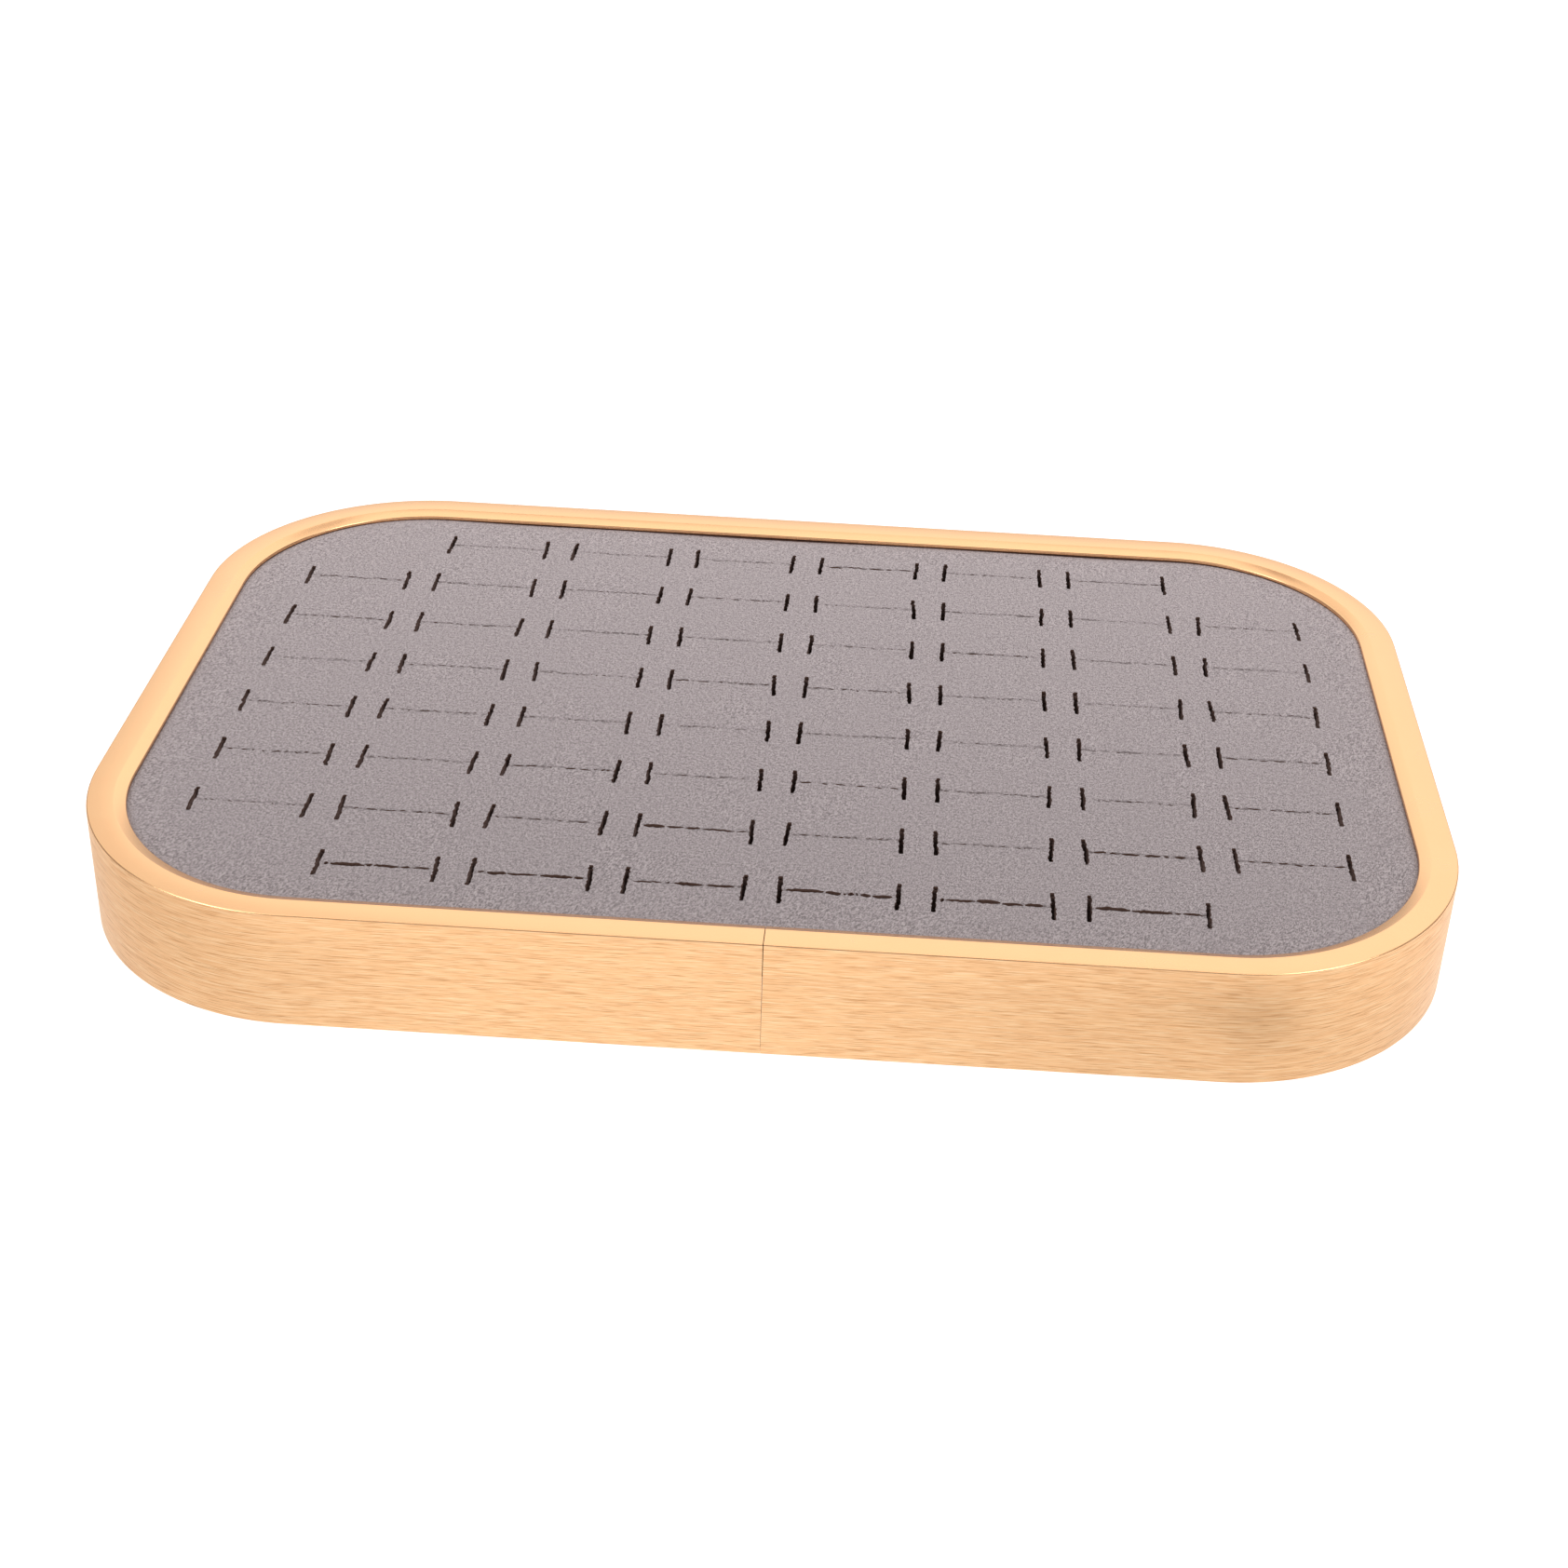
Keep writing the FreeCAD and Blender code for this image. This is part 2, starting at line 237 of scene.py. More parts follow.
def brushed_anodised_aluminium():
    """Anodised aluminium, brushed along its length: fine streaks in tone, gloss and relief."""
    material, tree, shader = new_material("Brushed champagne anodised aluminium")
    # The real streaks are finer, and are drawn as coarse as they need to be to show.
    streak_length = 9 * MM
    streak_height = 0.15 * MM
    place = add(tree, "UVMap", uv_map="Grain").outputs[0]
    sizes = {
        "fine": (streak_length, streak_height),
        "dark": (0.9 * streak_length, 1.2 * streak_height),
        "light": (0.8 * streak_length, 1.1 * streak_height),
        "broad": (60 * MM, 5 * MM),
    }
    grain = {}
    for index, (label, (length, height)) in enumerate(sizes.items()):
        scale = (1 / length, 1 / height, 1)
        shift = (index * 7.3, index * 3.1, index * 11.7)
        mapped = add(tree, "Mapping", {"Vector": place, "Scale": scale, "Location": shift})
        spots = {"Vector": mapped.outputs[0], "Scale": 1.0, "Detail": 2.0, "Roughness": 0.5}
        grain[label] = add(tree, "TexNoise", spots).outputs[0]
    tone = add(tree, "MapRange", {0: grain["broad"], 1: 0.3, 2: 0.7}).outputs[0]
    base = add(tree, "Mix", {0: tone, 6: linear("#FACA99"), 7: linear("#FFCF9C")}, data_type="RGBA")
    fine = add(tree, "MapRange", {0: grain["fine"], 1: 0.38, 2: 0.62, 3: 0.0, 4: 1.0}).outputs[0]
    toned = {0: fine, 6: base.outputs[2], 7: linear("#EDB885")}
    with_fine = add(tree, "Mix", toned, data_type="RGBA").outputs[2]
    dark = add(tree, "MapRange", {0: grain["dark"], 1: 0.54, 2: 0.66, 3: 0.0, 4: 1.0}).outputs[0]
    darkened = {0: dark, 6: with_fine, 7: linear("#CF9A6A")}
    with_dark = add(tree, "Mix", darkened, data_type="RGBA").outputs[2]
    light = add(tree, "MapRange", {0: grain["light"], 1: 0.54, 2: 0.66, 3: 0.0, 4: 0.8}).outputs[0]
    lightened = {0: light, 6: with_dark, 7: linear("#FFDAAD")}
    colour = add(tree, "Mix", lightened, data_type="RGBA").outputs[2]
    rough = add(tree, "MapRange", {0: grain["fine"], 1: 0.3, 2: 0.7, 3: 0.34, 4: 0.44}).outputs[0]
    relief = {"Strength": 0.15, "Distance": 0.02 * MM, "Height": grain["fine"]}
    bump = add(tree, "Bump", relief).outputs[0]
    tangent = add(tree, "Tangent", direction_type="UV_MAP", uv_map="Grain").outputs[0]
    shader.inputs["Metallic"].default_value = 1.0
    shader.inputs["Anisotropic"].default_value = 0.6
    tree.links.new(colour, shader.inputs["Base Color"])
    tree.links.new(rough, shader.inputs["Roughness"])
    tree.links.new(bump, shader.inputs["Normal"])
    tree.links.new(tangent, shader.inputs["Tangent"])
    return material


def satin_anodised_aluminium():
    """The same anodising on the smooth lip: etched satin, with only a faint cloud in its gloss."""
    material, tree, shader = new_material("Satin champagne anodised aluminium")
    place = add(tree, "TexCoord").outputs["Object"]
    cloud_size = 14 * MM
    cloud_spots = {"Vector": place, "Scale": 1 / cloud_size, "Detail": 3.0}
    cloud = add(tree, "TexNoise", cloud_spots).outputs[0]
    etch_size = 0.35 * MM
    etch_spots = {"Vector": place, "Scale": 1 / etch_size, "Detail": 2.0}
    etch = add(tree, "TexNoise", etch_spots).outputs[0]
    tone = add(tree, "MapRange", {0: cloud, 1: 0.35, 2: 0.65}).outputs[0]
    colours = {0: tone, 6: linear("#FFC793"), 7: linear("#FFCA96")}
    colour = add(tree, "Mix", colours, data_type="RGBA").outputs[2]
    rough = add(tree, "MapRange", {0: cloud, 1: 0.3, 2: 0.7, 3: 0.22, 4: 0.28}).outputs[0]
    relief = {"Strength": 0.08, "Distance": 0.01 * MM, "Height": etch}
    bump = add(tree, "Bump", relief).outputs[0]
    shader.inputs["Metallic"].default_value = 1.0
    tree.links.new(colour, shader.inputs["Base Color"])
    tree.links.new(rough, shader.inputs["Roughness"])
    tree.links.new(bump, shader.inputs["Normal"])
    return material


bend_profile()
tray_frame = finish_piece("BentFrame")
lay_grain(tray_frame)
tray_frame.data.materials.append(satin_anodised_aluminium())
tray_frame.data.materials.append(brushed_anodised_aluminium())
for face in tray_frame.data.polygons:
    face_inward = round_the_tray(face.center.x, face.center.y)[1]
    on_outer_wall = abs(face.normal.z) < 0.3 and face_inward < WALL / 4
    face.material_index = 1 if on_outer_wall else 0
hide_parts("frame")

# The splice is a flat strip of mill-finish aluminium, sawn to length. It sits behind the front
# wall across the butt joint and keeps the two ends of the profile in line.


def mill_finish_aluminium():
    """Plain rolled aluminium: grey, half dull, with faint rolling lines along the strip."""
    material, tree, shader = new_material("Mill-finish aluminium")
    place = add(tree, "TexCoord").outputs["Object"]
    line_length = 20 * MM
    line_height = 0.4 * MM
    scale = (1 / line_length, 1 / line_height, 1 / line_height)
    mapped = add(tree, "Mapping", {"Vector": place, "Scale": scale}).outputs[0]
    lines = add(tree, "TexNoise", {"Vector": mapped, "Scale": 1.0, "Detail": 3.0}).outputs[0]
    colours = {0: lines, 6: linear("#BDBEC0"), 7: linear("#DADBDD")}
    colour = add(tree, "Mix", colours, data_type="RGBA").outputs[2]
    rough = add(tree, "MapRange", {0: lines, 3: 0.32, 4: 0.5}).outputs[0]
    shader.inputs["Metallic"].default_value = 1.0
    tree.links.new(colour, shader.inputs["Base Color"])
    tree.links.new(rough, shader.inputs["Roughness"])
    return material


def dress_node(name, material):
    """Gives a CAD node its material."""
    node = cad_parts[name]
    node.data.materials.clear()
    node.data.materials.append(material)


dress_node("joint_splice", mill_finish_aluminium())

# The base board is 3 mm medium-density fibreboard, routed to the rounded plan. It rests on the
# frame's ledge and carries the foam, which is glued to it.


def fibreboard():
    """Pressed wood fibres: a matt even brown with short pale and dark flecks."""
    material, tree, shader = new_material("Medium-density fibreboard")
    place = add(tree, "TexCoord").outputs["Object"]
    fleck_size = 0.8 * MM
    flecks = {"Vector": place, "Scale": 1 / fleck_size, "Detail": 5.0, "Roughness": 0.7}
    fleck = add(tree, "TexNoise", flecks).outputs[0]
    shade = add(tree, "MapRange", {0: fleck, 1: 0.3, 2: 0.7}).outputs[0]
    colours = {0: shade, 6: linear("#8F714F"), 7: linear("#BC9A72")}
    colour = add(tree, "Mix", colours, data_type="RGBA").outputs[2]
    relief = {"Strength": 0.3, "Distance": 0.1 * MM, "Height": fleck}
    bump = add(tree, "Bump", relief).outputs[0]
    shader.inputs["Roughness"].default_value = 0.85
    tree.links.new(colour, shader.inputs["Base Color"])
    tree.links.new(bump, shader.inputs["Normal"])
    return material


dress_node("base_board", fibreboard())

# The foam pad is dark open-cell polyurethane foam, die-cut with the same slits as the cloth.
# Glued to the board and squeezed under the lip, it grips the rings that are pressed in.


def open_cell_foam():
    """Cut open-cell foam: dull, nearly black, pitted all over by its cells."""
    material, tree, shader = new_material("Open-cell polyurethane foam")
    place = add(tree, "TexCoord").outputs["Object"]
    cell_size = 0.7 * MM
    cells = add(tree, "TexVoronoi", {"Vector": place, "Scale": 1 / cell_size}).outputs[0]
    colours = {0: cells, 6: linear("#4A3833"), 7: linear("#7A6058")}
    colour = add(tree, "Mix", colours, data_type="RGBA").outputs[2]
    relief = {"Strength": 0.7, "Distance": 0.3 * MM, "Height": cells}
    bump = add(tree, "Bump", relief).outputs[0]
    shader.inputs["Roughness"].default_value = 0.95
    tree.links.new(colour, shader.inputs["Base Color"])
    tree.links.new(bump, shader.inputs["Normal"])
    return material


# The stretched cloth presses the top of the foam down by this much.
FOAM_GIVE = 0.35 * MM
foam_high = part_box("foam_pad")[1]
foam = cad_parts["foam_pad"].copy()
foam.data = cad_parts["foam_pad"].data.copy()
for key in list(foam.keys()):
    del foam[key]
foam.parent = None
bpy.context.collection.objects.link(foam)
bpy.context.view_layer.objects.active = foam
foam.select_set(True)
bpy.ops.object.mode_set(mode="EDIT")
bpy.ops.mesh.select_all(action="SELECT")
bpy.ops.mesh.remove_doubles(threshold=SAME_PLACE / 10)
bpy.ops.object.mode_set(mode="OBJECT")
for vertex in foam.data.vertices:
    if vertex.co.z > foam_high.z - SAME_PLACE:
        vertex.co.z -= FOAM_GIVE
bpy.ops.object.shade_smooth_by_angle(angle=math.radians(30))
foam_piece = finish_piece("FoamPad")
foam_piece.data.materials.clear()
foam_piece.data.materials.append(open_cell_foam())
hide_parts("foam_pad")

# The cover is one sheet of grey microfibre suede, drawn over the foam and down its sides. It is
# die-cut with the H-shaped slits: the cross slits stand open, and the long ones nearly close.
cover_low, cover_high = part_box("microfibre_cover")
CLOTH = 0.8 * MM
CLOTH_TURN = 2.5 * MM
CLOTH_RADIUS = CORNER_RADIUS - (HALF_LENGTH - cover_high.x)
COLUMN_PITCH = 38 * MM
ROW_PITCH = 25.8 * MM
COLUMNS = 8
ROWS = 8
SLIT_LENGTH = 29.2 * MM
CROSS_LENGTH = 12 * MM
CROSS_WIDTH = 1.2 * MM
CUT_DEPTH = 1.6 * MM
# The cloth's slack: shallow waves that start past the lip and grow inward, on a mesh of this step.
WAVE_STEP = 6 * MM
WAVE_DEPTH = 0.15 * MM
WAVE_LENGTH = 24 * MM
WAVE_START = 2 * MM
WAVE_FADE = 15 * MM
# Rings of the cover beside the lip, where the cloth is pulled down from it: unevenly, most along
# the straight back, and less where the corners begin.
EDGE_RINGS = [3.5 * MM, 1.3 * MM, 0.4 * MM, 1 * MM, 1.5 * MM, 2 * MM]
EDGE_DIP = 0.7 * MM
DIP_REACH = 3 * MM
DIP_UNEVEN_LENGTH = 70 * MM
DIP_AT_FRONT = 0.25
DIP_LOST_AT_CORNERS = 0.7
CORNERS_BEGIN = 90 * MM
CORNERS_FULL = 130 * MM
# A die cut: the length of its straight bits, how far its cutter stands above the cloth, and how
# ragged its edges are. A long slit's cutter keeps clear of the cross slits' cutters.
CUT_STEP = 0.7 * MM
CUT_ABOVE = 1 * MM
CROSS_RAGGED = 0.12 * MM
SLIT_RAGGED = 0.15 * MM
CLEAR_OF_CROSS = 1.5 * MM
# How far a long slit wanders off its straight line, and over what length.
WANDER = 0.7 * MM
WANDER_LENGTH = 5 * MM
# How far the long slits stand open, 1 being fully: the front row, the next one and the others.
OPENNESS_BY_ROW = (1.05, 0.65, 0.45)
OPENNESS_SPREAD = 0.18
chance = random.Random(60)


def share(value):
    """Keeps a share between 0 and 1."""
    return min(1, max(0, value))


def drape_cover():
    """A block with the pad's rounded plan and turned edge, opened below and given thickness."""
    size = cover_high - cover_low
    bpy.ops.mesh.primitive_cube_add(size=1, location=(cover_low + cover_high) / 2)
    cover = bpy.context.object
    cover.scale = size
    bpy.ops.object.transform_apply(location=True, rotation=True, scale=True)
    bpy.ops.object.mode_set(mode="EDIT")
    select_where("edges", lambda edge: rise(edge) > size.z / 2)
    bpy.ops.mesh.bevel(offset=CLOTH_RADIUS, segments=28, affect="EDGES")
    select_where("faces", lambda face: face.normal.z < -0.9)
    bpy.ops.mesh.delete(type="FACE")
    top = cover_high.z - SAME_PLACE
    select_where("edges", lambda edge: all(vertex.co.z > top for vertex in edge.verts))
    bpy.ops.mesh.bevel(offset=CLOTH_TURN, segments=5, affect="EDGES")
    select_where("faces", lambda face: face.normal.z > 0.999)
    for width in EDGE_RINGS:
        bpy.ops.mesh.inset(thickness=width)
    for axis, reach in ((Vector((1, 0, 0)), cover_high.x), (Vector((0, 1, 0)), cover_high.y)):
        count = int(reach / WAVE_STEP)
        for step in range(-count, count + 1):
            bpy.ops.mesh.select_all(action="SELECT")
            bpy.ops.mesh.bisect(plane_co=axis * step * WAVE_STEP, plane_no=axis)
    bpy.ops.object.mode_set(mode="OBJECT")
    for vertex in cover.data.vertices:
        if vertex.co.z < top:
            continue
        x, y = vertex.co.xy
        inward = round_the_tray(x, y)[1]
        free = share((inward - LIP_REACH - WAVE_START) / WAVE_FADE)
        wave = noise.noise(Vector((x, y, 0)) / WAVE_LENGTH)
        near_lip = share(1.15 - abs(inward - LIP_REACH) / DIP_REACH)
        uneven = noise.noise(Vector((x, y, 1)) / DIP_UNEVEN_LENGTH)
        cornering = share((abs(x) - CORNERS_BEGIN) / (CORNERS_FULL - CORNERS_BEGIN))
        behind = share(y / HALF_WIDTH) * (1 - DIP_LOST_AT_CORNERS * cornering)
        dip = EDGE_DIP * (DIP_AT_FRONT + (1 - DIP_AT_FRONT) * behind**2)
        vertex.co.z -= WAVE_DEPTH * free * (1 + wave) + dip * near_lip * (0.8 + uneven)
    thicken = cover.modifiers.new("Cloth", "SOLIDIFY")
    thicken.thickness = CLOTH
    thicken.offset = -1
    bpy.ops.object.modifier_apply(modifier=thicken.name)
    return cover


def cut_strip(start, end, width, ragged, blunt):
    """A ragged die cut, as a block to take out of the cloth. At blunt 1 its ends are square."""
    run = end - start
    steps = max(int(run.length / CUT_STEP), 3)
    bpy.ops.mesh.primitive_grid_add(x_subdivisions=steps, y_subdivisions=1, size=1)
    strip = bpy.context.object
    across = Vector((-run.y, run.x, 0)).normalized()
    kink = chance.randrange(1, steps)
    shift = chance.uniform(-2, 2) * ragged
    drift = [chance.uniform(-ragged, ragged) + shift * (i > kink) for i in range(steps + 1)]
    for vertex in strip.data.vertices:
        gone = vertex.co.x + 0.5
        index = round(gone * steps)
        taper = min(1, blunt + 3 * min(gone, 1 - gone))
        half = width / 2 * taper * chance.uniform(0.75, 1.25)
        side = half if vertex.co.y > 0 else -half
        vertex.co = start + run * gone + across * (side + drift[index])
        vertex.co.z = cover_high.z - CUT_DEPTH
    bpy.ops.object.mode_set(mode="EDIT")
    bpy.ops.mesh.select_all(action="SELECT")
    upwards = (0, 0, CUT_DEPTH + CUT_ABOVE)
    bpy.ops.mesh.extrude_region_move(TRANSFORM_OT_translate={"value": upwards})
    bpy.ops.mesh.select_all(action="SELECT")
    bpy.ops.mesh.normals_make_consistent(inside=False)
    bpy.ops.object.mode_set(mode="OBJECT")
    return strip


def cut_h_slit(middle, openness):
    """One H: two open cross slits, and the long slit as the stretches that stand open. The more
    open it is, the longer and wider its stretches and the shorter the shut gaps between them."""
    strips = []
    for side in (-1, 1):
        centre = middle + Vector((side * SLIT_LENGTH / 2, 0, 0))
        half = CROSS_LENGTH / 2 * chance.uniform(0.94, 1.05)
        lean = Vector((chance.uniform(-0.25, 0.25) * MM, half, 0))
        cross = cut_strip(centre - lean, centre + lean, CROSS_WIDTH, CROSS_RAGGED, blunt=0.75)
        strips.append(cross)
    longest_stretch = 0.9 + 9 * openness**3
    longest_gap = 0.7 + 8 * (1 - openness)
    reach = SLIT_LENGTH / 2 - CLEAR_OF_CROSS
    at = -reach + chance.uniform(0, 6) * (1 - openness) * MM
    while at < reach - 1 * MM:
        end = min(at + chance.uniform(0.4, longest_stretch) * MM, reach)
        wander = noise.noise(Vector((at + middle.x, middle.y, 0)) / WANDER_LENGTH) * WANDER
        start_at = middle + Vector((at, wander, 0))
        end_at = middle + Vector((end, wander + chance.uniform(-0.15, 0.15) * MM, 0))
        width = (0.3 + 1.4 * openness**3 * chance.uniform(0.3, 1)) * MM
        strips.append(cut_strip(start_at, end_at, width, SLIT_RAGGED, blunt=0.4))
        at = end + chance.uniform(0.3, longest_gap) * MM
    return strips


def cut_all_slits(cover):
    """Every H of the pattern, which has none in the four corners, taken out of the cloth."""
    strips = []
    for row in range(ROWS):
        for column in range(COLUMNS):
            if row in (0, ROWS - 1) and column in (0, COLUMNS - 1):
                continue
            middle_x = (column - (COLUMNS - 1) / 2) * COLUMN_PITCH
            middle_y = (row - (ROWS - 1) / 2) * ROW_PITCH
            openness = share(chance.gauss(OPENNESS_BY_ROW[min(row, 2)], OPENNESS_SPREAD))
            strips += cut_h_slit(Vector((middle_x, middle_y, 0)), openness)
    bpy.ops.object.select_all(action="DESELECT")
    for strip in strips:
        strip.select_set(True)
    bpy.context.view_layer.objects.active = strips[0]
    bpy.ops.object.join()
    cutter = bpy.context.object
    bpy.ops.object.select_all(action="DESELECT")
    bpy.context.view_layer.objects.active = cover
    cover.select_set(True)
    cut = cover.modifiers.new("Slits", "BOOLEAN")
    cut.operation = "DIFFERENCE"
    cut.solver = "EXACT"
    cut.object = cutter
    bpy.ops.object.modifier_apply(modifier=cut.name)
    bpy.data.objects.remove(cutter)
    bpy.ops.object.shade_smooth_by_angle(angle=math.radians(30))


def slit_nearness(tree, place):
    """How near a place is to the line of a long slit, from 0 to 1, for all 60 of them."""
    split = add(tree, "SeparateXYZ", {0: place})
    wander_reach = 0.9 * MM
    wander_spots = {"Vector": place, "Scale": 1 / WANDER_LENGTH, "Detail": 4.0}
    wander = add(tree, "TexNoise", wander_spots).outputs[0]
    spread = {0: wander, 3: -wander_reach, 4: wander_reach}
    drift = add(tree, "MapRange", spread).outputs[0]
    moved_y = add(tree, "Math", {0: split.outputs[1], 1: drift}, operation="ADD").outputs[0]
    # How far the place lies from the slit in the middle of its cell, along x and along y.
    within = []
    for value, pitch in ((split.outputs[0], COLUMN_PITCH), (moved_y, ROW_PITCH)):
        counted = add(tree, "Math", {0: value, 1: pitch}, operation="DIVIDE").outputs[0]
        part = add(tree, "Math", {0: counted}, operation="FRACT").outputs[0]
        centred = add(tree, "Math", {0: part, 1: 0.5}, operation="SUBTRACT").outputs[0]
        size = add(tree, "Math", {0: centred}, operation="ABSOLUTE").outputs[0]
        within.append(add(tree, "Math", {0: size, 1: pitch}, operation="MULTIPLY").outputs[0])
    near_x = {0: within[0], 1: SLIT_LENGTH / 2 - 0.5 * MM, 2: SLIT_LENGTH / 2, 3: 1.0, 4: 0.0}
    near_y = {0: within[1], 1: 0.25 * MM, 2: 0.8 * MM, 3: 1.0, 4: 0.0}
    shares = [add(tree, "MapRange", near).outputs[0] for near in (near_x, near_y)]
    near = add(tree, "Math", {0: shares[0], 1: shares[1]}, operation="MULTIPLY").outputs[0]
    # The four corner cells have no slit, and nothing lies outside the grid.
    far = []
    limits = ((0, COLUMN_PITCH, COLUMNS), (1, ROW_PITCH, ROWS))
    for axis, pitch, count in limits:
        size = add(tree, "Math", {0: split.outputs[axis]}, operation="ABSOLUTE").outputs[0]
        edge = (count / 2 - 1) * pitch
        last = add(tree, "Math", {0: size, 1: edge}, operation="GREATER_THAN").outputs[0]
        past = add(tree, "Math", {0: size, 1: edge + pitch}, operation="GREATER_THAN").outputs[0]
        far.append((last, past))
    corner = add(tree, "Math", {0: far[0][0], 1: far[1][0]}, operation="MULTIPLY").outputs[0]
    outside = add(tree, "Math", {0: far[0][1], 1: far[1][1]}, operation="MAXIMUM").outputs[0]
    none = add(tree, "Math", {0: corner, 1: outside}, operation="MAXIMUM").outputs[0]
    here = add(tree, "Math", {0: 1.0, 1: none}, operation="SUBTRACT").outputs[0]
    return add(tree, "Math", {0: near, 1: here}, operation="MULTIPLY").outputs[0]


def microfibre_suede():
    """Short dense nap of split fibres: soft grey specks, with painted light that makes it lighter
    toward the back, and a broken line of painted shade at each long slit."""
    material, tree, shader = new_material("Grey microfibre suede")
    place = add(tree, "TexCoord").outputs["Object"]
    # The real nap is finer, and is drawn as coarse as it needs to be to show.
    tuft_size = 0.9 * MM
    tufts = {"Vector": place, "Scale": 1 / tuft_size, "Detail": 4.0, "Roughness": 0.85}
    tuft = add(tree, "TexNoise", tufts).outputs[0]
    stroke_length = 0.7 * MM
    stroke_width = 0.25 * MM
    lie = {
        "Vector": place,
        "Rotation": (0, 0, math.radians(65)),
        "Scale": (stroke_length, stroke_width, stroke_width),
    }
    lain = add(tree, "Mapping", lie, vector_type="TEXTURE").outputs[0]
    strokes = add(tree, "TexNoise", {"Vector": lain, "Scale": 1.0, "Detail": 2.0}).outputs[0]
    patch_size = 18 * MM
    patch_spots = {"Vector": place, "Scale": 1 / patch_size, "Detail": 3.0}
    patches = add(tree, "TexNoise", patch_spots).outputs[0]
    nap = add(tree, "Math", {0: tuft, 1: strokes}, operation="ADD").outputs[0]
    shade = add(tree, "MapRange", {0: nap, 1: 0.84, 2: 1.16}).outputs[0]
    colours = {0: shade, 6: linear("#7D7374"), 7: linear("#C5B8B9")}
    specked = add(tree, "Mix", colours, data_type="RGBA").outputs[2]
    patchy = add(tree, "MapRange", {0: patches, 1: 0.35, 2: 0.6, 3: 0.2, 4: 0.0}).outputs[0]
    softened = {0: patchy, 6: specked, 7: linear("#A59A9B")}
    soft = add(tree, "Mix", softened, data_type="RGBA").outputs[2]
    # Painted light: the colour is scaled from 0.75 at the front to 1.06 at the back, so the pad
    # looks more lit toward the back.
    depth = add(tree, "SeparateXYZ", {0: place}).outputs[1]
    painted_back_light = {0: depth, 1: -HALF_WIDTH, 2: HALF_WIDTH, 3: 0.75, 4: 1.06}
    turned = add(tree, "MapRange", painted_back_light).outputs[0]
    brushed = add(tree, "VectorMath", {0: soft, "Scale": turned}, operation="SCALE").outputs[0]
    near = slit_nearness(tree, place)
    pressed_length = 7 * MM
    pressed_spots = {"Vector": place, "Scale": 1 / pressed_length, "Detail": 1.0}
    pressed = add(tree, "TexNoise", pressed_spots).outputs[0]
    shut = add(tree, "MapRange", {0: pressed, 1: 0.4, 2: 0.6, 3: 0.45, 4: 1.0}).outputs[0]
    dot_size = 1.2 * MM
    dot_spots = {"Vector": place, "Scale": 1 / dot_size, "Detail": 2.0}
    dots = add(tree, "TexNoise", dot_spots).outputs[0]
    broken = add(tree, "MapRange", {0: dots, 1: 0.42, 2: 0.6, 3: 0.1, 4: 1.0}).outputs[0]
    # Painted shade: a broken dark line along each long slit, where the cut has closed.
    slit_shade_line = add(tree, "Math", {0: near, 1: broken}, operation="MULTIPLY").outputs[0]
    painted_slit_shade = add(tree, "Math", {0: slit_shade_line, 1: shut}, operation="MULTIPLY").outputs[0]
    painted_slit_shading = {0: painted_slit_shade, 6: brushed, 7: linear("#564A49")}
    colour = add(tree, "Mix", painted_slit_shading, data_type="RGBA").outputs[2]
    sunk = add(tree, "Math", {0: nap, 1: near}, operation="SUBTRACT").outputs[0]
    relief = {"Strength": 0.6, "Distance": 0.25 * MM, "Height": sunk}
    bump = add(tree, "Bump", relief).outputs[0]
    shader.inputs["Roughness"].default_value = 0.9
    shader.inputs["Sheen Weight"].default_value = 0.25
    shader.inputs["Sheen Roughness"].default_value = 0.4
    shader.inputs["Sheen Tint"].default_value = linear("#E8E0E0")
    tree.links.new(colour, shader.inputs["Base Color"])
    tree.links.new(bump, shader.inputs["Normal"])
    return material


def painted_shade_on_cloth():
    """Painted shade for the cloth's cut edges and its rim under the lip: dark brown with faint
    threads.
    """
    material, tree, shader = new_material("Painted shade on the suede's edges")
    place = add(tree, "TexCoord").outputs["Object"]
    thread_size = 0.4 * MM
    thread_spots = {"Vector": place, "Scale": 1 / thread_size, "Detail": 3.0}
    threads = add(tree, "TexNoise", thread_spots).outputs[0]
    colours = {0: threads, 6: linear("#4A342C"), 7: linear("#7A5C50")}
    colour = add(tree, "Mix", colours, data_type="RGBA").outputs[2]
    shader.inputs["Roughness"].default_value = 1.0
    tree.links.new(colour, shader.inputs["Base Color"])
    return material


cover_piece = drape_cover()
cut_all_slits(cover_piece)
cover_piece = finish_piece("MicrofibreCover")
cover_piece.data.materials.append(microfibre_suede())
cover_piece.data.materials.append(painted_shade_on_cloth())
# The walls of the slits and the cloth under the lip take the painted shade.
for face in cover_piece.data.polygons:
    face_inward = round_the_tray(face.center.x, face.center.y)[1]
    in_a_slit = abs(face.normal.z) < 0.7
    under_the_lip = face_inward < LIP_REACH
    face.material_index = 1 if in_a_slit or under_the_lip else 0
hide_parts("microfibre_cover")

# The underside is a 2 mm needled felt, cut to the frame's opening and glued under the board, so
# that the tray slides on a counter without a scratch.
felt_low, felt_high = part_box("felt_underside")
FELT_RADIUS = CORNER_RADIUS - (HALF_LENGTH - felt_high.x)


